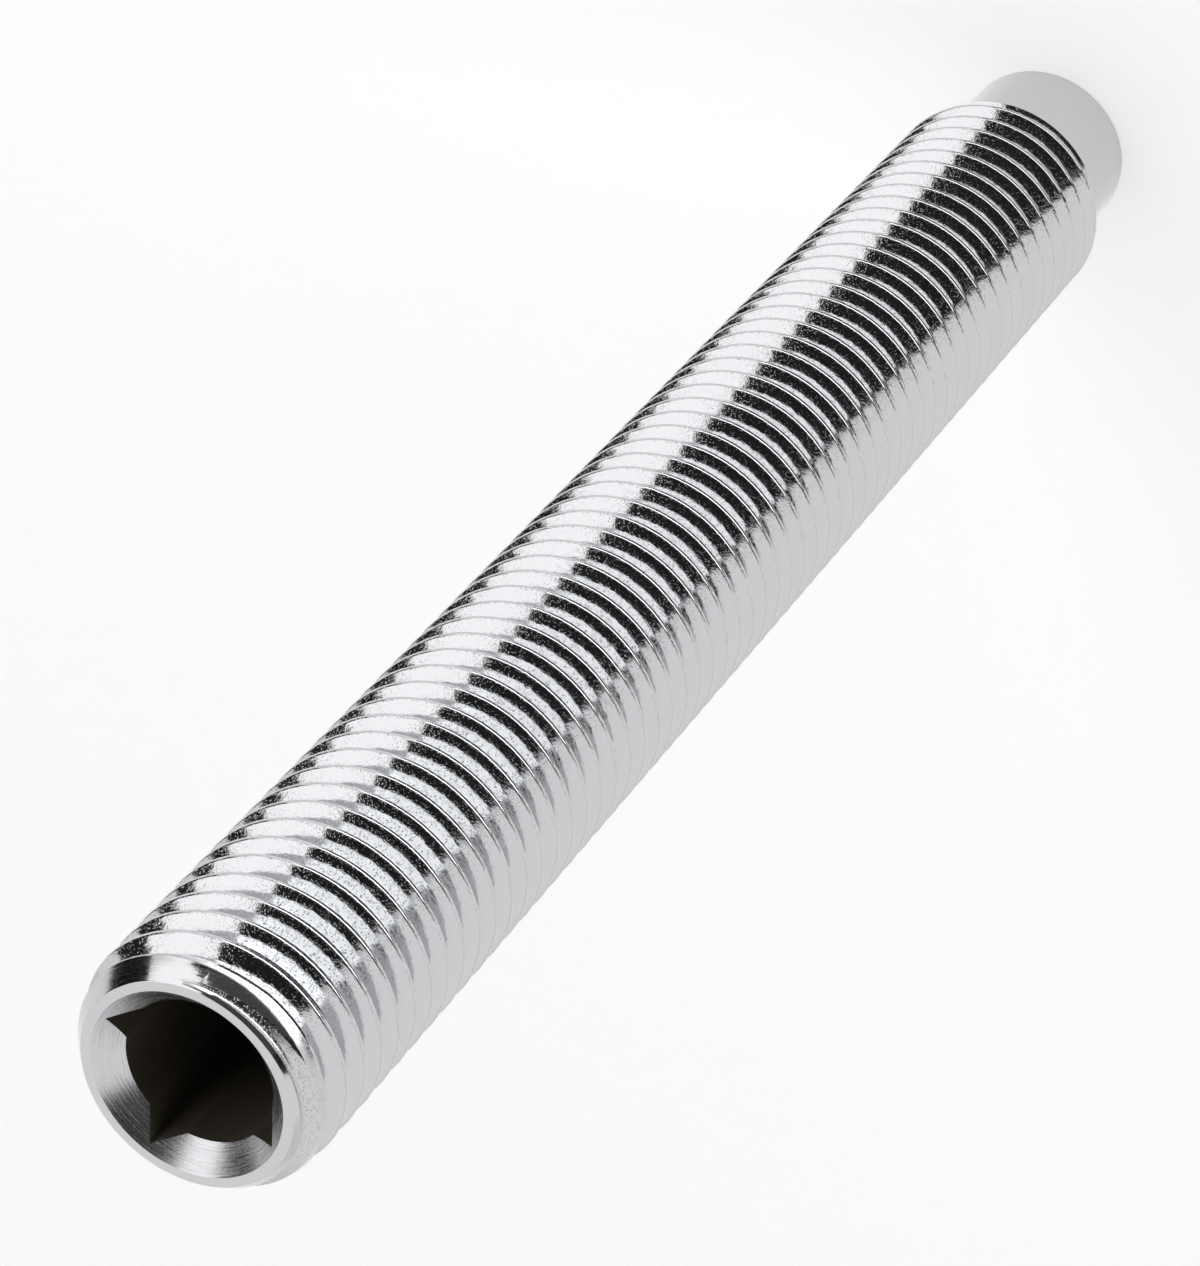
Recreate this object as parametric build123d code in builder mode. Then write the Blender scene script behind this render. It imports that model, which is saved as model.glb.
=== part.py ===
"""Jack bolt: a fully threaded 1 in - 8 UNC bar, 8 in long, that is turned by a half-inch square drive
and pushes with a plain dog point.

The bolt is one turned and rolled piece. It stands on the flat of its dog point, with its axis on +Z and
the drive socket on top. The origin is the centre of the dog point's end face. Lengths are in millimetres.
"""

import os
from math import radians, sqrt, tan

from build123d import *

# Overall form
overall_length = 203.2  # drive face to dog tip, 8 in
major_diameter = 25.33  # over the crests of the rolled thread

# Thread, to the unified 60 degree form
thread_pitch = 3.175  # 8 turns to the inch
flank_angle = 30.0  # each flank, from a plane square to the axis
thread_start_depth = 1.16  # first groove's middle below the drive face, on the +X side

# Drive end
face_ring_diameter = 21.0  # outside of the flat ring round the socket
lead_in_length = 2.9  # chamfer from the flat ring out to the crests, along the axis
mouth_diameter = 19.1  # countersink where it opens on the flat ring
mouth_angle = 90.0  # countersink, included
pilot_diameter = 14.6  # drilled hole that the square is broached into
pilot_depth = 22.0  # drive face to the shoulder of the drill point
drill_point_angle = 118.0  # included
square_size = 12.9  # across the flats of the drive square
square_depth = 18.0  # drive face to the foot of the broached corners

# Dog end
dog_diameter = 19.8
dog_length = 13.5  # plain cylinder, with its tip chamfer
dog_tip_chamfer = 0.5
thread_end_chamfer = 2.4  # from the shoulder of the dog out to the crests

# The unified form: an eighth of the pitch is flat at the crest, and a quarter at the root
crest_flat = thread_pitch / 8
root_flat = thread_pitch / 4
flank_run = (thread_pitch - crest_flat - root_flat) / 2
thread_depth = flank_run / tan(radians(flank_angle))
crest_radius = major_diameter / 2
root_radius = crest_radius - thread_depth

# One pitch of the thread in the XZ plane, from the middle of a root to the middle of the next one
THREAD_FORM = [
    (root_radius, 0),
    (root_radius, root_flat / 2),
    (crest_radius, root_flat / 2 + flank_run),
    (crest_radius, root_flat / 2 + flank_run + crest_flat),
    (root_radius, thread_pitch - root_flat / 2),
    (root_radius, thread_pitch),
]


def one_turn(radius, height):
    """One right-hand turn of a helix that starts on the XZ plane at this radius and height."""
    return Edge.make_helix(thread_pitch, thread_pitch, radius, center=(0, 0, height))


def turn_faces(height):
    """The roots, flanks and crest of one turn, each ruled between two helices."""
    return [
        Face.make_surface_from_curves(one_turn(r0, height + z0), one_turn(r1, height + z1))
        for (r0, z0), (r1, z1) in zip(THREAD_FORM, THREAD_FORM[1:])
    ]


def end_faces(height):
    """What closes the threaded bar: a helical ramp from the axis to the root, and the step that it leaves."""
    axis = Edge.make_line((0, 0, height), (0, 0, height + thread_pitch))
    ramp = Face.make_surface_from_curves(axis, one_turn(root_radius, height))
    outline = [(0, 0), *THREAD_FORM, (0, thread_pitch)]
    step = Wire.make_polygon([(r, 0, height + z) for r, z in outline], close=True)
    return [ramp, Face(step)]


def threaded_bar():
    """A bar of whole turns that overruns both ends of the bolt, before it is cut to its outline."""
    spare_turns = 2
    turns = int(overall_length / thread_pitch) + 2 * spare_turns
    bottom = overall_length - thread_start_depth - (turns - spare_turns) * thread_pitch
    faces = [face for turn in range(turns) for face in turn_faces(bottom + turn * thread_pitch)]
    faces += end_faces(bottom) + end_faces(bottom + turns * thread_pitch)
    return Solid(Shell(faces))


bar = threaded_bar()

with BuildPart() as jack_bolt:
    add(bar)

    # The turned outline: lead-in chamfer at the top, end chamfer and dog point at the bottom. It clears
    # the crests by a little, so that only the two chamfers and the dog point cut the thread.
    thread_end = dog_length + thread_end_chamfer
    clear_radius = crest_radius + 0.5
    lead_in_slope = lead_in_length / (crest_radius - face_ring_diameter / 2)
    with BuildSketch(Plane.XZ):
        with BuildLine():
            Polyline(
                (0, 0),
                (dog_diameter / 2 - dog_tip_chamfer, 0),
                (dog_diameter / 2, dog_tip_chamfer),
                (dog_diameter / 2, dog_length),
                (crest_radius - thread_end_chamfer, dog_length),
                (clear_radius, thread_end + clear_radius - crest_radius),
                (clear_radius, overall_length - (clear_radius - face_ring_diameter / 2) * lead_in_slope),
                (face_ring_diameter / 2, overall_length),
                (0, overall_length),
                close=True,
            )
        make_face()
    revolve(axis=Axis.Z, mode=Mode.INTERSECT)

    # The socket's round part: countersunk mouth, drilled hole and drill point
    mouth_depth = (mouth_diameter - pilot_diameter) / 2 / tan(radians(mouth_angle / 2))
    point_depth = pilot_diameter / 2 / tan(radians(drill_point_angle / 2))
    with BuildSketch(Plane.XZ):
        with BuildLine():
            Polyline(
                (0, overall_length),
                (mouth_diameter / 2, overall_length),
                (pilot_diameter / 2, overall_length - mouth_depth),
                (pilot_diameter / 2, overall_length - pilot_depth),
                (0, overall_length - pilot_depth - point_depth),
                close=True,
            )
        make_face()
    revolve(axis=Axis.Z, mode=Mode.SUBTRACT)

    # The drive square, broached down through the mouth, so that only its corners pass the drilled hole
    with BuildSketch(Plane.XY.offset(overall_length - square_depth)):
        Rectangle(square_size, square_size)
    extrude(amount=square_depth, mode=Mode.SUBTRACT)

jack_bolt.part.label = "jack_bolt"

os.makedirs("parts", exist_ok=True)
export_step(jack_bolt.part, "parts/jack_bolt.step")
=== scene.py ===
"""Jack bolt with a rolled 1 in - 8 thread, a square drive socket and a plain dog point, in a small studio.

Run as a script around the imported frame. The mesh is in metres, with the bolt standing on its dog point along
+Z. Sizes in the panel are in millimetres where they say so, and else in the unit that they show.
"""

from math import cos, degrees, floor, pi, radians, sin, tan

import bpy
from mathutils import Euler, Matrix, Vector


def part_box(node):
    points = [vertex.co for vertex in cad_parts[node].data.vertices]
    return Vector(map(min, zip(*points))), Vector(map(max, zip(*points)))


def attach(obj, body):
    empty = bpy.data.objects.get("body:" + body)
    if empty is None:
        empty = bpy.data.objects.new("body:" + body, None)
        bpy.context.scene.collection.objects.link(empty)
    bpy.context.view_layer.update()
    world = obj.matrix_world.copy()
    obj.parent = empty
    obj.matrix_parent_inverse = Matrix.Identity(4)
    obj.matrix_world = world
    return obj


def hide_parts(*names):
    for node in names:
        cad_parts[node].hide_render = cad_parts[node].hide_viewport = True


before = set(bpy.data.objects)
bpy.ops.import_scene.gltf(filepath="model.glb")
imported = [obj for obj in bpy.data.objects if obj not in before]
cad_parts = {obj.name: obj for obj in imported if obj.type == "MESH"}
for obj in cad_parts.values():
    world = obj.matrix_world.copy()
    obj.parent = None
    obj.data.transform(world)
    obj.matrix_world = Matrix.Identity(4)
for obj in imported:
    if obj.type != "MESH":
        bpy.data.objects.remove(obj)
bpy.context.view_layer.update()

bl_info = {
    "name": "Jack bolt",
    "version": (1, 0, 0),
    "blender": (4, 5, 0),
    "location": "View3D > Sidebar > Jack bolt",
    "description": "Models and lights a plated jack bolt with a rolled thread",
    "category": "Object",
}

MM = 0.001
NODE = "jack_bolt"
LOW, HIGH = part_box(NODE)
LENGTH_MM = round((HIGH.z - LOW.z) / MM, 2)
# down to the next thousandth, so that the crests keep inside the plain solid on all four sides
CREST_RADIUS_MM = floor(min(HIGH.x, -LOW.x, HIGH.y, -LOW.y) / MM * 1000) / 1000

ORIGIN = (0, 0, 0)
UP = Vector((0, 0, 1))
FULL_TURN = radians(360)
WELD_MM = 0.0005  # points that are nearer than this become one
HAIR_MM = 0.01  # tells a face on a plane from the faces beside it
CLEAR_MM = 0.5  # how far a cutting outline stands off what it leaves whole
LOWER_FLANK_Z = -0.5  # a face whose normal has less height than this is a lower flank
SMOOTH_ANGLE = radians(35)  # edges that turn by more than this stay sharp

# Nearly all of a Noise texture lies between these two values
NOISE_LOW = 0.35
NOISE_HIGH = 0.65

# Faces round the stage's pieces
FLOOR_STEPS = 96
BEND_STEPS = 8
CARD_STEPS = 48


# --- small tools ----------------------------------------------------------------------------------

def linear(hex_colour):
    """An sRGB hex colour as the linear RGBA that shaders take."""
    channels = [int(hex_colour[i:i + 2], 16) / 255 for i in (1, 3, 5)]
    return [c / 12.92 if c <= 0.04045 else ((c + 0.055) / 1.055) ** 2.4 for c in channels] + [1.0]


def add_node(tree, kind, links=(), inputs=(), **settings):
    """Adds a shader node. Links and inputs say, socket by socket, where it is fed from or its plain value."""
    node = tree.nodes.new(kind)
    for key, value in settings.items():
        setattr(node, key, value)
    for socket, value in dict(inputs).items():
        node.inputs[socket].default_value = value
    for socket, source in dict(links).items():
        tree.links.new(source, node.inputs[socket])
    return node


def new_material(name):
    """An empty material and its node tree."""
    material = bpy.data.materials.new(name)
    material.use_nodes = True
    material.node_tree.nodes.clear()
    return material, material.node_tree


def start_section(name, r, z):
    """Starts a section: one point in the XZ plane, left selected in edit mode."""
    bpy.ops.object.select_all(action="DESELECT")
    bpy.ops.mesh.primitive_plane_add(size=MM)
    piece = bpy.context.active_object
    piece.name = name
    bpy.ops.object.mode_set(mode="EDIT")
    bpy.ops.mesh.select_mode(type="VERT")
    bpy.ops.mesh.select_all(action="SELECT")
    bpy.ops.mesh.merge(type="CENTER")
    bpy.ops.transform.translate(value=(r * MM, 0, z * MM))
    return piece


def draw_section(name, points):
    """Draws an open section through (radius, height) points in mm, by extruding one point after another."""
    piece = start_section(name, *points[0])
    for (r0, z0), (r1, z1) in zip(points, points[1:]):
        step = ((r1 - r0) * MM, 0, (z1 - z0) * MM)
        bpy.ops.mesh.extrude_region_move(TRANSFORM_OT_translate={"value": step})
    return piece


def corner_arc(r, z, radius, start, end, steps):
    """Points of an arc round (r, z) from one angle to another, in degrees from the +R direction."""
    angles = [start + (end - start) * k / steps for k in range(steps + 1)]
    return [(r + radius * cos(radians(a)), z + radius * sin(radians(a))) for a in angles]


def weld():
    """Merges points that meet, over the whole of what is being edited."""
    bpy.ops.mesh.select_all(action="SELECT")
    bpy.ops.mesh.remove_doubles(threshold=WELD_MM * MM)


def weld_and_face_out():
    """Merges points that meet and turns every face outwards, in edit mode."""
    weld()
    bpy.ops.mesh.normals_make_consistent(inside=False)


def spin_section(steps, angle=FULL_TURN):
    """Spins the section that is being edited round the axis, clockwise as seen from above."""
    bpy.ops.mesh.select_all(action="SELECT")
    bpy.ops.mesh.spin(steps=steps, angle=angle, center=ORIGIN, axis=UP)


def give_finishes(piece, finishes, choose):
    """Puts these materials on piece, with the one on each face that choose(face) picks."""
    for finish in finishes:
        piece.data.materials.append(finish)
    for face in piece.data.polygons:
        face.material_index = finishes.index(choose(face))


def apply_modifier(piece, kind, **settings):
    """Adds a modifier with these settings and applies it."""
    modifier = piece.modifiers.new(kind.title(), kind)
    for key, value in settings.items():
        setattr(modifier, key, value)
    bpy.context.view_layer.objects.active = piece
    bpy.ops.object.modifier_apply(modifier=modifier.name)


def cut(piece, tool, operation):
    """Cuts piece with tool, whose own material goes on the new faces, and removes tool."""
    apply_modifier(
        piece, "BOOLEAN", operation=operation, object=tool, solver="EXACT", material_mode="TRANSFER")
    bpy.data.objects.remove(tool)


# --- the bolt -------------------------------------------------------------------------------------

def thread_section(s):
    """One pitch of the thread, from the middle of one root to that of the next, as (radius, height)."""
    half_pitch = s.pitch / 2
    half_crest = s.pitch / 16
    rise = 90 - degrees(s.flank_angle)
    # a root arc that touches both flanks
    flank_at_root = half_pitch - half_crest - (s.crest_radius - s.root_radius) * tan(s.flank_angle)
    root_round = flank_at_root * cos(s.flank_angle) / (1 - sin(s.flank_angle))
    lower = corner_arc(s.root_radius + root_round, 0, root_round, 180, 180 - rise, s.root_steps)
    # a crest corner that the rolling dies left rounded
    crest_z = half_pitch - half_crest + s.crest_round * tan(radians(rise) / 2)
    upper = corner_arc(s.crest_radius - s.crest_round, crest_z, s.crest_round, -rise, 0, s.crest_steps)
    first_half = lower + upper
    second_half = [(r, s.pitch - z) for r, z in reversed(first_half)]
    return first_half + second_half


def model_threaded_bar(s):
    """The rolled bar: the thread's section screwed along the axis past both ends of the bolt, and closed."""
    spare = 2  # turns past each end
    turns = int(s.length / s.pitch) + 2 * spare
    bottom = s.length - s.thread_start - (turns - spare) * s.pitch
    bar = draw_section(NODE + "_body", [(r, bottom + z) for r, z in thread_section(s)])
    bpy.ops.object.mode_set(mode="OBJECT")
    apply_modifier(
        bar, "SCREW", axis="Z", angle=FULL_TURN, steps=s.turn_steps, render_steps=s.turn_steps,
        iterations=turns, screw_offset=s.pitch * MM, use_smooth_shade=True, use_merge_vertices=False,
    )
    bpy.ops.object.mode_set(mode="EDIT")
    weld_and_face_out()
    for side in (-1, 1):
        close_end(bar, s.length / 2 * MM, side)
    weld_and_face_out()
    push_first_turn(bar, s)
    bpy.ops.object.mode_set(mode="OBJECT")
    return bar


def close_end(bar, middle, side):
    """Closes the bar's open end, below or above its middle, with a fan of triangles."""
    bpy.ops.mesh.select_all(action="DESELECT")
    bpy.ops.mesh.select_mode(type="EDGE")
    bpy.ops.mesh.select_non_manifold()
    bpy.ops.object.mode_set(mode="OBJECT")
    for edge in bar.data.edges:
        z = sum(bar.data.vertices[v].co.z for v in edge.vertices) / 2
        if (z - middle) * side < 0:
            edge.select = False
    bpy.ops.object.mode_set(mode="EDIT")
    bpy.ops.mesh.edge_face_add()
    bpy.ops.mesh.poke()


def push_first_turn(bar, s):
    """Pushes the first turn a little towards the drive face, as rolling does where nothing holds it."""
    bpy.ops.mesh.select_mode(type="VERT")
    bpy.ops.mesh.select_all(action="DESELECT")
    bpy.ops.object.mode_set(mode="OBJECT")
    for vertex in bar.data.vertices:
        vertex.select = vertex.co.z > (s.length - s.pushed_depth) * MM
    bpy.ops.object.mode_set(mode="EDIT")
    bpy.ops.transform.translate(
        value=(0, 0, s.push * MM), use_proportional_edit=True, proportional_edit_falloff="SMOOTH",
        proportional_size=s.push_fade * MM)


def outline_section(s):
    """The turned outline and the drilled hole, from the middle of the dog tip round to the drill point.

    The rolling dies fill the first and last ridge only in part, so between each chamfer and the full crest
    the outline has a second, longer slope."""
    top = s.length
    clear = s.crest_radius + CLEAR_MM
    start_rise = (s.crest_radius - s.blank_radius) / s.first_ridge_length
    end_rise = (s.crest_radius - s.end_radius) / s.last_ridge_length
    end_height = s.dog_length + s.shoulder_height
    blank_edge = (s.blank_radius, top - s.lead_in_length)
    mouth_edge = (s.mouth_radius, top)
    mouth_depth = (s.mouth_radius - s.pilot_radius) / tan(s.mouth_angle / 2)
    point_depth = s.pilot_radius / tan(s.drill_point_angle / 2)
    return [
        (0, 0),
        (s.dog_radius - s.dog_chamfer, 0),
        (s.dog_radius, s.dog_chamfer),
        (s.dog_radius, s.dog_length),
        (s.shoulder_radius, s.dog_length),
        (s.end_radius, end_height),
        (clear, end_height + (clear - s.end_radius) / end_rise),
        (clear, top - s.lead_in_length - (clear - s.blank_radius) / start_rise),
        blank_edge,
        *break_edge(blank_edge, (s.face_radius, top), mouth_edge, s),
        mouth_edge,
        (s.pilot_radius, top - mouth_depth),
        (s.pilot_radius, top - s.pilot_depth),
        (0, top - s.pilot_depth - point_depth),
    ]


def break_edge(before, corner, after, s):
    """Points that round a corner of a section by the edge break, between the points before and after it."""
    corner = Vector(corner)
    to_before = (Vector(before) - corner).normalized()
    to_after = (Vector(after) - corner).normalized()
    half = to_before.angle(to_after) / 2
    centre = corner + (to_before + to_after).normalized() * s.edge_round / sin(half)
    start = corner + to_before * s.edge_round / tan(half) - centre
    end = corner + to_after * s.edge_round / tan(half) - centre
    steps = s.crest_steps
    spokes = [start.lerp(end, k / steps).normalized() for k in range(steps + 1)]
    return [tuple(centre + spoke * s.edge_round) for spoke in spokes]


def model_outline(s, turned, runout, mouth, socket_painted_shade):
    """The turned outline as a closed body, spun round the axis, with the finish of each of its faces."""
    body = draw_section("turned_outline", outline_section(s))
    spin_section(s.turn_steps * 2)
    weld_and_face_out()
    bpy.ops.mesh.faces_shade_smooth()
    bpy.ops.object.mode_set(mode="OBJECT")

    def finish_at(face):
        radius = face.center.xy.length / MM
        height = face.center.z / MM
        near_drive_face = height > s.length / 2
        # the hole's faces get the socket's dark colour, which is painted shade
        if near_drive_face and radius < s.pilot_radius:
            return socket_painted_shade
        if near_drive_face and radius < s.mouth_radius:
            return mouth
        if s.dog_length + HAIR_MM < height < s.length - s.lead_in_length:
            return runout
        return turned

    give_finishes(body, [turned, runout, mouth, socket_painted_shade], finish_at)
    return body


def model_square_broach(s, socket_painted_shade):
    """The tool that the drive square is broached with: a square bar that reaches past the drive face."""
    overshoot = 5  # in mm, so that the cut is open at the top
    height = s.square_depth + overshoot
    middle = s.length - s.square_depth + height / 2
    bpy.ops.object.select_all(action="DESELECT")
    bpy.ops.mesh.primitive_cube_add(size=1, location=(0, 0, middle * MM))
    tool = bpy.context.active_object
    tool.scale = (s.square * MM, s.square * MM, height * MM)
    bpy.ops.object.transform_apply(location=True, rotation=True, scale=True)
    # the broached faces get the socket's dark colour, which is painted shade
    tool.data.materials.append(socket_painted_shade)
    return tool


# --- finishes -------------------------------------------------------------------------------------

def lathe_coordinates(tree, along):
    """Object coordinates as (way round, radius, height), with the way round counted this much coarser.

    The way round is measured on the thread's crest, so all three are in metres."""
    place = add_node(tree, "ShaderNodeTexCoord").outputs["Object"]
    parts = add_node(tree, "ShaderNodeSeparateXYZ", {"Vector": place}).outputs
    flat = add_node(tree, "ShaderNodeCombineXYZ", {"X": parts["X"], "Y": parts["Y"]})
    radius = add_node(tree, "ShaderNodeVectorMath", {0: flat.outputs["Vector"]}, operation="LENGTH")
    bearing = add_node(tree, "ShaderNodeMath", {0: parts["Y"], 1: parts["X"]}, operation="ARCTAN2")
    way = add_node(
        tree, "ShaderNodeMath", {0: bearing.outputs["Value"]}, {1: CREST_RADIUS_MM * MM / along},
        operation="MULTIPLY",
    )
    joined = add_node(
        tree, "ShaderNodeCombineXYZ",
        {"X": way.outputs["Value"], "Y": radius.outputs["Value"], "Z": parts["Z"]},
    )
    return joined.outputs["Vector"], radius.outputs["Value"]


def plated_steel(
        name, hex_colour, roughness, spread, streak_mm, along, streak_depth, pit_mm, pit_depth, pit_dullness,
        pressed_at=None, open_at=None):
    """Bright plating: a mirror-like metal with streaks that run round the axis and small, round, duller pits.

    The streaks are streak_mm apart and as many times longer as along says. Both depths are in mm. The pits
    are the same all over, unless two radii in mm say where the dies have pressed them nearly flat and where
    they are still open."""
    pit_floor = 0.12  # radius of a pit's flat middle, as a share of the pits' spacing
    pit_rim = 0.34  # radius of its rim
    pressed_depth = 0.27  # what the dies leave of a pit's depth
    material, tree = new_material(name)
    turned, radius = lathe_coordinates(tree, along)
    place = add_node(tree, "ShaderNodeTexCoord").outputs["Object"]
    streaks = add_node(
        tree, "ShaderNodeTexNoise", {"Vector": turned},
        {"Scale": 1 / (streak_mm * MM), "Detail": 3.0, "Roughness": 0.6},
    ).outputs["Fac"]
    gloss = add_node(
        tree, "ShaderNodeMapRange", {"Value": streaks},
        {
            "From Min": NOISE_LOW, "From Max": NOISE_HIGH,
            "To Min": roughness - spread, "To Max": roughness + spread,
        },
    )
    grooves = add_node(
        tree, "ShaderNodeBump", {"Height": streaks}, {"Strength": 1.0, "Distance": streak_depth * MM})
    cells = add_node(
        tree, "ShaderNodeTexVoronoi", {"Vector": place}, {"Scale": 1 / (pit_mm * MM)}, feature="F1")
    pits = add_node(
        tree, "ShaderNodeMapRange", {"Value": cells.outputs["Distance"]},
        {"From Min": pit_floor, "From Max": pit_rim, "To Min": -1.0, "To Max": 0.0},
    ).outputs["Result"]
    dulled = add_node(
        tree, "ShaderNodeMath", {0: pits, 2: gloss.outputs["Result"]}, {1: -pit_dullness},
        operation="MULTIPLY_ADD",
    )
    pitted = {"Height": pits, "Normal": grooves.outputs["Normal"]}
    if pressed_at is not None:
        pitted["Strength"] = add_node(
            tree, "ShaderNodeMapRange", {"Value": radius},
            {
                "From Min": pressed_at * MM, "From Max": open_at * MM,
                "To Min": pressed_depth, "To Max": 1.0,
            },
        ).outputs["Result"]
    normal = add_node(tree, "ShaderNodeBump", pitted, {"Strength": 1.0, "Distance": pit_depth * MM})
    surface = add_node(
        tree, "ShaderNodeBsdfPrincipled",
        {"Roughness": dulled.outputs["Value"], "Normal": normal.outputs["Normal"]},
        {"Base Color": linear(hex_colour), "Metallic": 1.0},
    )
    add_node(tree, "ShaderNodeOutputMaterial", {"Surface": surface.outputs["BSDF"]})
    return material


def rolled_thread(s, hex_colour):
    """Rolled steel, bright plated.

    The dies press it nearly to a mirror, so each flank shows the lights as bands with hard edges, a little
    streaked along the roll, with a few dark specks just under the crest. The real streaks and pits are
    hundredths of a millimetre wide. They are drawn coarser, so that they show."""
    return plated_steel(
        "rolled_thread_bright_plated", hex_colour, roughness=0.075, spread=0.025,
        streak_mm=0.55, along=1.6, streak_depth=0.014, pit_mm=0.20, pit_depth=0.018, pit_dullness=0.20,
        pressed_at=s.crest_radius - 0.24, open_at=s.crest_radius - 0.12)


def dragged_flank(s, hex_colour):
    """Rolled steel, bright plated, on the lower flanks, where the metal drags as it flows up into the crest.

    Its pits are larger and stay open towards the root. They break up the white that the flank below mirrors
    from it, which gives the bands their speckle. They too are drawn coarser than real ones."""
    return plated_steel(
        "rolled_dragged_flank_bright_plated", hex_colour, roughness=0.085, spread=0.03,
        streak_mm=0.55, along=1.6, streak_depth=0.020, pit_mm=0.30, pit_depth=0.050, pit_dullness=0.35,
        pressed_at=s.crest_radius - 0.40, open_at=s.crest_radius - 0.65)


def rolled_runout(hex_colour):
    """Rolled steel, bright plated, where the thread runs out and the dies hardly touch the bar.

    It stays rougher, so the bands blur there and break up into grains. Those are drawn coarser too."""
    return plated_steel(
        "rolled_runout_bright_plated", hex_colour, roughness=0.22, spread=0.06,
        streak_mm=0.50, along=1.6, streak_depth=0.016, pit_mm=0.19, pit_depth=0.022, pit_dullness=0.30)


def turned_steel(hex_colour):
    """Turned steel, bright plated, on the drive face, the lead-in chamfer and the dog point.

    The tool's fine feed lines run round the axis and draw each reflection out a little across them. The real
    lines are about 0.1 mm apart. They are drawn coarser, so that they show."""
    return plated_steel(
        "turned_steel_bright_plated", hex_colour, roughness=0.11, spread=0.03,
        streak_mm=0.25, along=30.0, streak_depth=0.006, pit_mm=0.4, pit_depth=0.001, pit_dullness=0.05)


def countersunk_steel(hex_colour):
    """Countersunk steel, bright plated, in the socket's mouth.

    The countersink leaves deeper rings, so the mouth is satin, with soft fans of light and dark round it."""
    return plated_steel(
        "countersunk_steel_bright_plated", hex_colour, roughness=0.25, spread=0.07,
        streak_mm=0.14, along=60.0, streak_depth=0.035, pit_mm=0.4, pit_depth=0.001, pit_dullness=0.05)


def broached_painted_shade(hex_colour):
    """Steel inside the socket, drilled and broached, in a dark brown that is painted shade for the deep hole.

    It is dull and nearly black, so the hole reads as deep, with faint lines along the broach's way."""
    # the dark base colour below is painted shade, not the steel's own colour
    line_mm = 0.3  # coarser than real lines, so that they show
    line_depth = 0.01
    squeeze = 0.04  # along the axis, which draws the noise out into lines
    material, tree = new_material("broached_steel_painted_shade")
    place = add_node(tree, "ShaderNodeTexCoord").outputs["Object"]
    stretched = add_node(tree, "ShaderNodeMapping", {"Vector": place}, {"Scale": (1.0, 1.0, squeeze)})
    lines = add_node(
        tree, "ShaderNodeTexNoise", {"Vector": stretched.outputs["Vector"]},
        {"Scale": 1 / (line_mm * MM), "Detail": 2.0},
    ).outputs["Fac"]
    tone = add_node(
        tree, "ShaderNodeMapRange", {"Value": lines},
        {"From Min": NOISE_LOW, "From Max": NOISE_HIGH, "To Min": 0.30, "To Max": 0.50},
    )
    normal = add_node(
        tree, "ShaderNodeBump", {"Height": lines}, {"Strength": 1.0, "Distance": line_depth * MM})
    surface = add_node(
        tree, "ShaderNodeBsdfPrincipled",
        {"Roughness": tone.outputs["Result"], "Normal": normal.outputs["Normal"]},
        {"Base Color": linear(hex_colour), "Specular IOR Level": 0.8},
    )
    add_node(tree, "ShaderNodeOutputMaterial", {"Surface": surface.outputs["BSDF"]})
    return material


def black_card(hex_colour):
    """Card, dyed black and matt. It mirrors nothing, and gives the metal its even dark bands."""
    material, tree = new_material("black_card_matt")
    surface = add_node(
        tree, "ShaderNodeBsdfPrincipled", {},
        {"Base Color": linear(hex_colour), "Roughness": 1.0, "Specular IOR Level": 0.0},
    )
    add_node(tree, "ShaderNodeOutputMaterial", {"Surface": surface.outputs["BSDF"]})
    return material


def seamless_paper(hex_colour, glow):
    """Uncoated white paper. It is matt, so it has no highlight and only the bolt's soft shadow.

    Where the camera, metal or glass sees it, it is lifted towards white by the same amount."""
    material, tree = new_material("seamless_paper_matt")
    rays = add_node(tree, "ShaderNodeLightPath").outputs
    by_camera_or_metal = add_node(
        tree, "ShaderNodeMath", {0: rays["Is Camera Ray"], 1: rays["Is Glossy Ray"]})
    seen = add_node(
        tree, "ShaderNodeMath", {0: by_camera_or_metal.outputs["Value"], 1: rays["Is Transmission Ray"]},
        use_clamp=True,
    )
    lift = add_node(tree, "ShaderNodeMath", {0: seen.outputs["Value"]}, {1: glow}, operation="MULTIPLY")
    surface = add_node(
        tree, "ShaderNodeBsdfPrincipled", {"Emission Strength": lift.outputs["Value"]},
        {
            "Base Color": linear(hex_colour), "Roughness": 0.9, "Specular IOR Level": 0.0,
            "Emission Color": (1, 1, 1, 1),
        },
    )
    add_node(tree, "ShaderNodeOutputMaterial", {"Surface": surface.outputs["BSDF"]})
    return material


# --- sizes and finishes that a user would change --------------------------------------------------

def millimetres(name, description, default, precision=2):
    """A length property in millimetres."""
    return bpy.props.FloatProperty(
        name=name, description=description, default=default, min=0.0, precision=precision)


def metres(name, description, default):
    """A length property in metres."""
    return bpy.props.FloatProperty(name=name, description=description, default=default, unit="LENGTH")


def angle(name, description, default):
    """An angle property, with its default in degrees."""
    return bpy.props.FloatProperty(
        name=name, description=description, default=radians(default), subtype="ANGLE")


def brightness(name, description, default):
    """A brightness property, in which a light of 1 looks just white."""
    return bpy.props.FloatProperty(
        name=name, description=description, default=default, min=0.0, precision=3)


def faces(name, description, default):
    """A property that counts faces."""
    return bpy.props.IntProperty(name=name, description=description, default=default, min=1)


def colour(name, description, default):
    """A colour property, as sRGB hex."""
    return bpy.props.StringProperty(name=name, description=description + ", sRGB hex", default=default)


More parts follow.
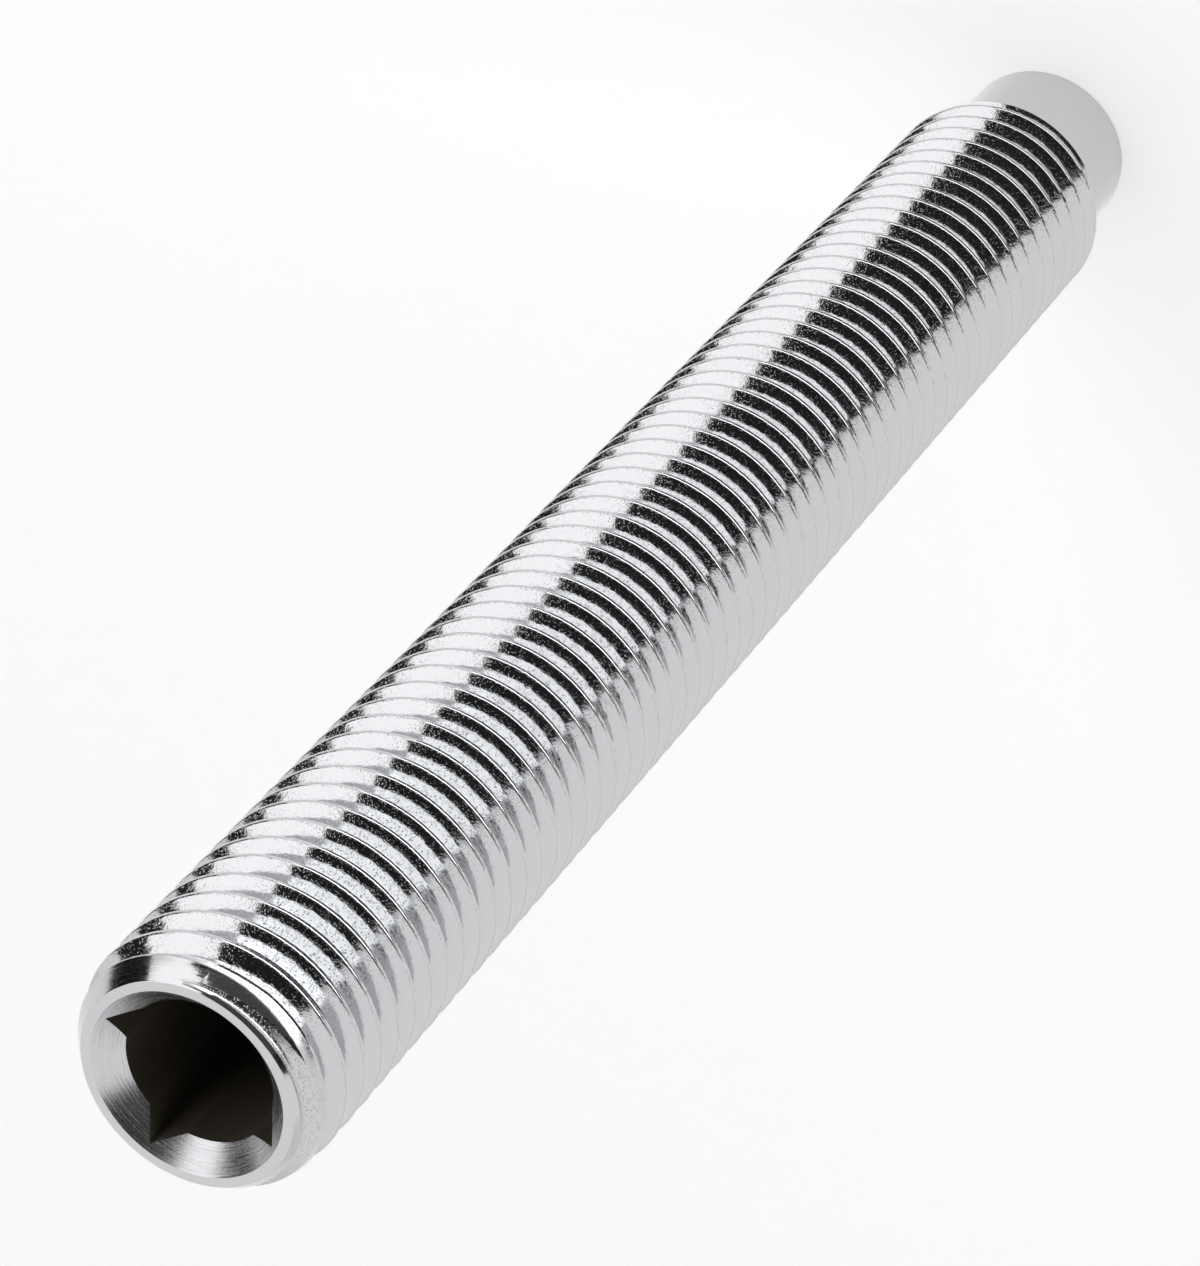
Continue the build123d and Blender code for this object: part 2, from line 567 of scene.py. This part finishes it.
class JackBoltSizes(bpy.types.PropertyGroup):
    """Sizes of the bolt"""
    length: millimetres("Length", "Drive face to dog tip, in mm", LENGTH_MM)
    crest_radius: millimetres("Crest radius", "Axis to the thread's crest, in mm", CREST_RADIUS_MM, 3)
    root_radius: millimetres("Root radius", "Axis to the bottom of the rounded root, in mm", 10.75)
    pitch: millimetres("Pitch", "Along the axis from one turn to the next, in mm", 3.175, 3)
    flank_angle: angle("Flank angle", "Each flank, from a plane square to the axis", 30)
    crest_round: millimetres("Crest rounding", "Radius on the crest's two corners, in mm", 0.30)
    push: millimetres("Push", "How far the first turn is pushed outwards, in mm", 0.35)
    pushed_depth: millimetres("Pushed depth", "From the drive face to the end of the pushed part, in mm", 3.5)
    push_fade: millimetres("Push fade", "Along the axis until the push is gone, in mm", 5.0)
    thread_start: millimetres("Thread start", "First groove's middle below the drive face at +X, in mm", 1.16)
    face_radius: millimetres("Drive face radius", "Outside of the flat ring, in mm", 10.51)
    blank_radius: millimetres("Blank radius", "Axis to the lead-in chamfer's outer edge, in mm", 11.96)
    lead_in_length: millimetres("Lead-in length", "Chamfer along the axis, in mm", 1.9)
    runout_reach: millimetres("Run-out reach", "From the lead-in to the end of the rough part, in mm", 0.3)
    mouth_radius: millimetres("Mouth radius", "Countersink at the drive face, in mm", 9.55)
    mouth_angle: angle("Mouth angle", "Countersink, included", 90)
    pilot_radius: millimetres("Hole radius", "Hole that the square is broached into, in mm", 7.3)
    pilot_depth: millimetres("Hole depth", "Drive face to the drill point's shoulder, in mm", 22.0)
    drill_point_angle: angle("Drill point angle", "Bottom of the hole, included", 118)
    square: millimetres("Drive square", "Across the flats, in mm", 12.9)
    square_depth: millimetres("Square depth", "Drive face to the foot of the corners, in mm", 18.0)
    dog_radius: millimetres("Dog radius", "Plain point, in mm", 9.9)
    dog_length: millimetres("Dog length", "Plain point with its chamfer, in mm", 13.5)
    dog_chamfer: millimetres("Dog chamfer", "At the tip, in mm", 0.5)
    first_ridge_length: millimetres("First ridge", "From the lead-in to the full crest, in mm", 2.6)
    last_ridge_length: millimetres("Last ridge", "From the full crest to the thread's end, in mm", 2.0)
    end_radius: millimetres("Thread's end radius", "Where the last ridge ends, in mm", 11.75)
    shoulder_radius: millimetres("Shoulder radius", "Where the dog meets the thread's end, in mm", 11.3)
    shoulder_height: millimetres("Shoulder height", "From the dog to the last ridge's end, in mm", 0.5)
    edge_round: millimetres("Edge break", "On the drive face's outer edge, in mm", 0.22)
    turn_steps: faces("Steps a turn", "Faces round one turn", 66)
    root_steps: faces("Root steps", "Faces on half a root", 3)
    crest_steps: faces("Crest steps", "Faces on each crest corner", 5)


class JackBoltFinish(bpy.types.PropertyGroup):
    """Colours of the bolt, as sRGB hex"""
    plating: colour("Plating", "Plated steel", "#CBCCCE")
    # the socket's dark colour is painted shade for the deep hole
    socket: colour("Socket", "Bare steel in the socket", "#4E473D")


class JackBoltStudio(bpy.types.PropertyGroup):
    """Camera, light and what the metal mirrors"""
    aim_height: metres("Aim height", "Point on the axis that the camera looks at", 0.12068)
    distance: metres("Distance", "Camera to the point it looks at", 0.49243)
    azimuth: angle("Azimuth", "Camera's direction from the axis", 38.09)
    elevation: angle("Elevation", "Camera above the horizontal", 50.13)
    roll: angle("Roll", "Camera turned about its own axis", -137.54)
    lens: bpy.props.FloatProperty(name="Lens", description="Focal length", default=141.49, unit="CAMERA")

    floor: colour("Floor", "Paper of the floor and backdrop", "#F6F6F6")
    floor_glow: brightness("Floor glow", "Added to the floor where it is seen", 0.288)
    floor_radius: millimetres("Floor radius", "Flat part of the floor, in mm", 2000.0)
    wall_bend: millimetres("Wall bend", "Radius of the bend from floor to wall, in mm", 300.0)
    wall_top: millimetres("Wall top", "Height of the low wall, in mm", 700.0)
    room_level: brightness("Room level", "Dark room round the lights", 0.018)

    key_height: metres("Key height", "Point on the axis that the key strip faces", 0.1)
    key_distance: metres("Key distance", "Key strip from that point", 4.0)
    key_azimuth: angle("Key azimuth", "Side that the key strip stands on", 163.1)
    key_elevation: angle("Key elevation", "Middle of the key strip's near end", 56.05)
    key_half_width: angle("Key half width", "Half of what the strip takes up across", 18.45)
    key_reach: angle("Key reach", "What the strip takes up along", 62.5)
    key_side_width: angle("Key side width", "What the side part adds to the strip's left", 24)
    key_side_start: angle("Key side start", "From the strip's near end along to the side part", 37)
    key_level: brightness("Key level", "Key strip and its side part", 1.46)

    fill_azimuth: angle("Fill azimuth", "Middle of the three fill panels", -106.9)
    fill_half_angle: angle("Fill half angle", "Half of what each panel takes up", 29.3)
    fill_distance: metres("Fill distance", "Fill panels from the axis", 2.4)
    fill_bottom: metres("Fill bottom", "Fill panels' lower edge", 0.7)
    fill_top: metres("Fill top", "Fill panels' upper edge", 9.6)
    fill_level: brightness("Fill level", "Fill panels", 0.97)

    front_azimuth: angle("Front azimuth", "Middle of the three front panels", 43)
    front_half_angle: angle("Front half angle", "Half of what each takes up", 43)
    front_distance: metres("Front distance", "Front panels from the axis", 0.45)
    low_top: metres("Low top", "Where the low softbox ends and the front softbox starts", 0.13)
    front_top: metres("Front top", "Where the front softbox ends and the bounce panel starts", 0.26)
    bounce_top: metres("Bounce top", "Bounce panel's upper edge", 0.75)
    low_level: brightness("Low level", "Low softbox", 1.38)
    front_level: brightness("Front level", "Front softbox", 2.45)
    bounce_level: brightness("Bounce level", "Bounce panel", 0.06)

    card: colour("Card", "Black cards", "#1C1C1C")
    front_card_lift: millimetres("Front card lift", "Above the floor, in mm", 0.2)
    front_card_near: millimetres("Front card near", "Inner edge from the axis, in mm", 30.0)
    front_card_far: millimetres("Front card far", "Outer edge from the axis, in mm", 400.0)
    front_card_start: angle("Front card start", "First azimuth", -5)
    front_card_end: angle("Front card end", "Last azimuth", 90)
    right_flag_distance: millimetres("Right flag distance", "From the axis, in mm", 420.0)
    right_flag_top: millimetres("Right flag top", "Upper edge, in mm", 110.0)
    right_flag_start: angle("Right flag start", "First azimuth", -17)
    right_flag_end: angle("Right flag end", "Last azimuth", 2)
    left_flag_distance: millimetres("Left flag distance", "From the axis, in mm", 600.0)
    left_flag_bottom: millimetres("Left flag bottom", "Lower edge, in mm", 165.0)
    left_flag_top: millimetres("Left flag top", "Upper edge, in mm", 360.0)
    left_flag_start: angle("Left flag start", "First azimuth", 128)
    left_flag_end: angle("Left flag end", "Last azimuth", 166)


# --- operators ------------------------------------------------------------------------------------

class JACKBOLT_OT_bolt(bpy.types.Operator):
    """Model the bolt: screw the rolled thread, turn its outline, drill and broach the socket"""
    bl_idname = "jack_bolt.bolt"
    bl_label = "Bolt"

    def execute(self, context):
        s = context.scene.jack_bolt_sizes
        finish = context.scene.jack_bolt_finish
        rolled = rolled_thread(s, finish.plating)
        dragged = dragged_flank(s, finish.plating)
        runout = rolled_runout(finish.plating)
        turned = turned_steel(finish.plating)
        mouth = countersunk_steel(finish.plating)
        # the socket's dull dark brown is painted shade for the deep hole
        socket_painted_shade = broached_painted_shade(finish.socket)

        def finish_at(face):
            if face.center.z > (s.length - s.lead_in_length - s.runout_reach) * MM:
                return runout
            return dragged if face.normal.z < LOWER_FLANK_Z else rolled

        bolt = model_threaded_bar(s)
        give_finishes(bolt, [rolled, runout, dragged], finish_at)
        cut(bolt, model_outline(s, turned, runout, mouth, socket_painted_shade), "INTERSECT")
        cut(bolt, model_square_broach(s, socket_painted_shade), "DIFFERENCE")
        bpy.ops.object.select_all(action="DESELECT")
        bolt.select_set(True)
        context.view_layer.objects.active = bolt
        bpy.ops.object.shade_smooth_by_angle(angle=SMOOTH_ANGLE)
        apply_modifier(bolt, "WEIGHTED_NORMAL", mode="FACE_AREA", weight=100, keep_sharp=True)
        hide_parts(NODE)
        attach(bolt, "root")
        return {"FINISHED"}


def heading(azimuth, elevation=0.0):
    """The direction at this azimuth and elevation, both in radians."""
    return Vector((cos(azimuth) * cos(elevation), sin(azimuth) * cos(elevation), sin(elevation)))


def soft_panel(name, centre, across, along, width, length, level):
    """A rectangular soft light of this brightness, with its back on the side of across x along."""
    light = bpy.data.lights.new(name, "AREA")
    light.shape = "RECTANGLE"
    light.size = width
    light.size_y = length
    # an area lamp is as bright as its power over pi times its area
    light.energy = level * pi * width * length
    lamp = bpy.data.objects.new(name, light)
    bpy.context.scene.collection.objects.link(lamp)
    lamp.location = centre
    lamp.rotation_euler = Matrix((across, along, across.cross(along))).transposed().to_euler()
    lamp.visible_camera = False


def key_strip(st):
    """The white strip softbox above the bolt's left, with both long edges level, and its side part.

    Flat flanks mirror the strip whole, so its long edges are where the thread's white band starts and ends.
    The lead-in chamfer mirrors the side part, which is to the strip's left and farther along."""
    facing = heading(st.key_azimuth, st.key_elevation)
    along = heading(st.key_azimuth - radians(90))
    across = along.cross(facing)
    near_end = UP * st.key_height + facing * st.key_distance
    edge = st.key_distance * tan(st.key_half_width)
    far = st.key_distance * tan(st.key_reach)
    soft_panel("key_strip", near_end + along * (far / 2), across, along, 2 * edge, far, st.key_level)
    outer = st.key_distance * tan(st.key_half_width + st.key_side_width)
    start = st.key_distance * tan(st.key_side_start)
    side = near_end + along * ((start + far) / 2) - across * ((edge + outer) / 2)
    soft_panel("key_side", side, across, along, outer - edge, far - start, st.key_level)


def upright_panel(name, azimuth, half_angle, distance, bottom, top, level):
    """A panel that stands upright, facing the axis, and takes up half_angle of the view to each side."""
    towards = heading(azimuth)
    centre = towards * distance + UP * ((bottom + top) / 2)
    width = 2 * distance * tan(half_angle)
    soft_panel(name, centre, UP.cross(towards), UP, width, top - bottom, level)


def fill_panels(st):
    """Three tall panels behind the bolt, side by side, for the grey of its far side."""
    for name, turn in (("fill_panel_right", -1), ("fill_panel_back", 0), ("fill_panel_left", 1)):
        azimuth = st.fill_azimuth - 2 * st.fill_half_angle * turn
        upright_panel(
            name, azimuth, st.fill_half_angle, st.fill_distance, st.fill_bottom, st.fill_top, st.fill_level)


def front_panels(st):
    """Three low panels in front of the bolt, one on top of the other.

    The lower flanks mirror the low softbox, the crests' rounding mirrors both softboxes as a thin line, and
    the lead-in chamfer mirrors the bounce panel as a dark grey."""
    for name, bottom, top, level in (
        ("low_softbox", 0.0, st.low_top, st.low_level),
        ("front_softbox", st.low_top, st.front_top, st.front_level),
        ("front_bounce", st.front_top, st.bounce_top, st.bounce_level),
    ):
        upright_panel(name, st.front_azimuth, st.front_half_angle, st.front_distance, bottom, top, level)


def mirrored_card(name, section, start, end, material):
    """A card that only the metal mirrors: a section in mm, swept round the axis between two azimuths."""
    card = draw_section(name, section)
    spin_section(CARD_STEPS, end - start)
    bpy.ops.object.mode_set(mode="OBJECT")
    # the spin ran clockwise from +X, so the sweep starts at its end
    card.rotation_euler.z = end
    bpy.ops.object.transform_apply(location=True, rotation=True, scale=True)
    card.data.materials.append(material)
    for ray in ("camera", "diffuse", "transmission", "volume_scatter", "shadow"):
        setattr(card, "visible_" + ray, False)


def black_cards(st):
    """One black card that lies in front of the bolt, and a black flag to each side, past the picture's edge.

    The crests' flats mirror the lying card as a thin dark line. Each flag hides a part of the pale floor or
    wall that the metal would mirror."""
    black = black_card(st.card)
    lying = [(st.front_card_near, st.front_card_lift), (st.front_card_far, st.front_card_lift)]
    right = [(st.right_flag_distance, 0), (st.right_flag_distance, st.right_flag_top)]
    left = [(st.left_flag_distance, st.left_flag_bottom), (st.left_flag_distance, st.left_flag_top)]
    mirrored_card("front_card", lying, st.front_card_start, st.front_card_end, black)
    mirrored_card("right_flag", right, st.right_flag_start, st.right_flag_end, black)
    mirrored_card("left_flag", left, st.left_flag_start, st.left_flag_end, black)


def paper_floor(st):
    """The floor and its low wall, in one sweep of paper."""
    bend = corner_arc(st.floor_radius, st.wall_bend, st.wall_bend, -90, 0, BEND_STEPS)
    wall_top = (st.floor_radius + st.wall_bend, st.wall_top)
    paper = draw_section("studio_floor", [(0, 0), *bend, wall_top])
    spin_section(FLOOR_STEPS)
    weld()
    bpy.ops.mesh.faces_shade_smooth()
    bpy.ops.object.mode_set(mode="OBJECT")
    paper.data.materials.append(seamless_paper(st.floor, st.floor_glow))


class JACKBOLT_OT_stage(bpy.types.Operator):
    """Set the stage: pale floor with a low curved wall, soft lights, black cards and the camera"""
    bl_idname = "jack_bolt.stage"
    bl_label = "Stage"

    def execute(self, context):
        st = context.scene.jack_bolt_studio
        paper_floor(st)
        key_strip(st)
        fill_panels(st)
        front_panels(st)
        black_cards(st)

        world = bpy.data.worlds.new("dim_room")
        context.scene.world = world
        world.use_nodes = True
        world.node_tree.nodes.clear()
        room = add_node(
            world.node_tree, "ShaderNodeBackground", {}, {"Color": (1, 1, 1, 1), "Strength": st.room_level})
        add_node(world.node_tree, "ShaderNodeOutputWorld", {"Surface": room.outputs["Background"]})

        camera = bpy.data.objects.new("camera", bpy.data.cameras.new("camera"))
        camera.data.lens = st.lens
        context.scene.collection.objects.link(camera)
        away = heading(st.azimuth, st.elevation)
        camera.location = UP * st.aim_height + away * st.distance
        unrolled = away.to_track_quat("Z", "Y")
        camera.rotation_euler = (unrolled @ Euler((0, 0, st.roll)).to_quaternion()).to_euler()
        context.scene.camera = camera
        context.scene.view_settings.view_transform = "Standard"
        return {"FINISHED"}


class JACKBOLT_PT_panel(bpy.types.Panel):
    """Builds the bolt and its stage"""
    bl_idname = "JACKBOLT_PT_panel"
    bl_label = "Jack bolt"
    bl_space_type = "VIEW_3D"
    bl_region_type = "UI"
    bl_category = "Jack bolt"

    def draw(self, context):
        for operator in OPERATORS:
            self.layout.operator(operator.bl_idname)
        for group in GROUPS.values():
            settings = getattr(context.scene, group)
            for name in settings.bl_rna.properties.keys():
                if name not in ("rna_type", "name"):
                    self.layout.prop(settings, name)


OPERATORS = (JACKBOLT_OT_bolt, JACKBOLT_OT_stage)
GROUPS = {
    JackBoltSizes: "jack_bolt_sizes",
    JackBoltFinish: "jack_bolt_finish",
    JackBoltStudio: "jack_bolt_studio",
}


def register():
    for group, name in GROUPS.items():
        bpy.utils.register_class(group)
        setattr(bpy.types.Scene, name, bpy.props.PointerProperty(type=group))
    for cls in OPERATORS + (JACKBOLT_PT_panel,):
        bpy.utils.register_class(cls)


def unregister():
    for cls in (JACKBOLT_PT_panel,) + OPERATORS:
        bpy.utils.unregister_class(cls)
    for group, name in GROUPS.items():
        delattr(bpy.types.Scene, name)
        bpy.utils.unregister_class(group)


def main():
    register()
    bpy.ops.jack_bolt.bolt()
    bpy.ops.jack_bolt.stage()


if __name__ == "__main__":
    main()
